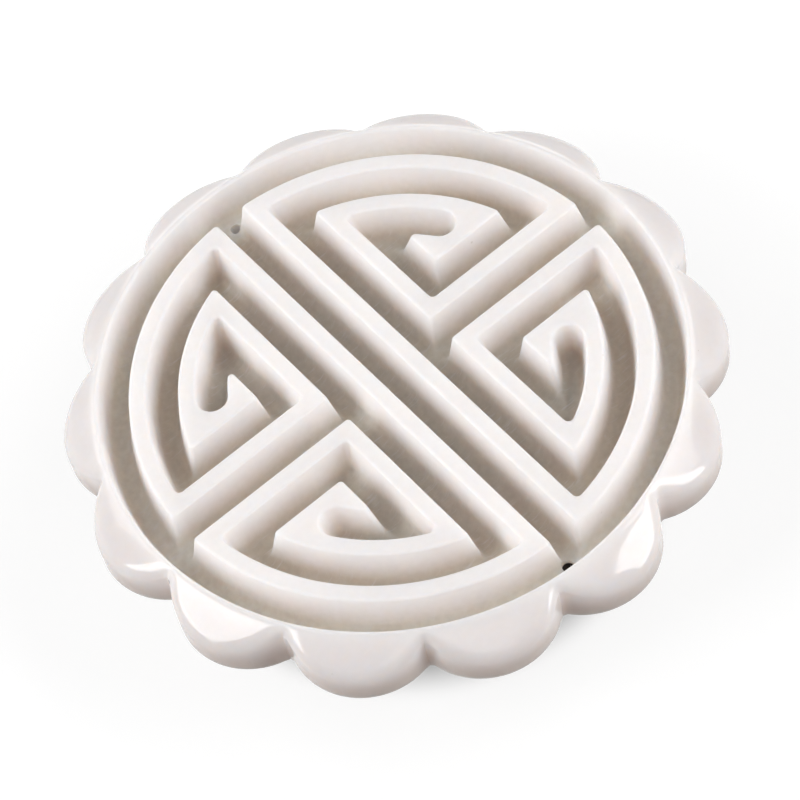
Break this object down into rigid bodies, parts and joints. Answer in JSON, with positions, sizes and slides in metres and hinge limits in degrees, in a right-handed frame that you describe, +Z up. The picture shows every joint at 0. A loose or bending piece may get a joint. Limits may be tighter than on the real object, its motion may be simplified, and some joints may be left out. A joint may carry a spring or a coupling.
{
  "type": "cookie stamp plate",
  "caption": "Round petalled stamp plate with a raised fret face and vent holes for pressing dough, with a bayonet socket screwed to its back.",
  "frame": {"origin": "middle of the socket's lower face, which the part stands on", "axes": "+Z up out of the fret face, +Y along the fret's two long bars"},
  "size_m": [0.0694, 0.0698, 0.0192],
  "materials": {
    "plate_plastic": "warm white moulded plastic, glossy on the petals and satin in the fret",
    "socket_plastic": "warm white moulded plastic, satin",
    "screw_steel": "plain stainless steel"
  },
  "bodies": {
    "root": {"stamp_plate": "plate_plastic", "coupling_socket": "socket_plastic", "socket_screws": "screw_steel"}
  },
  "joints": []
}
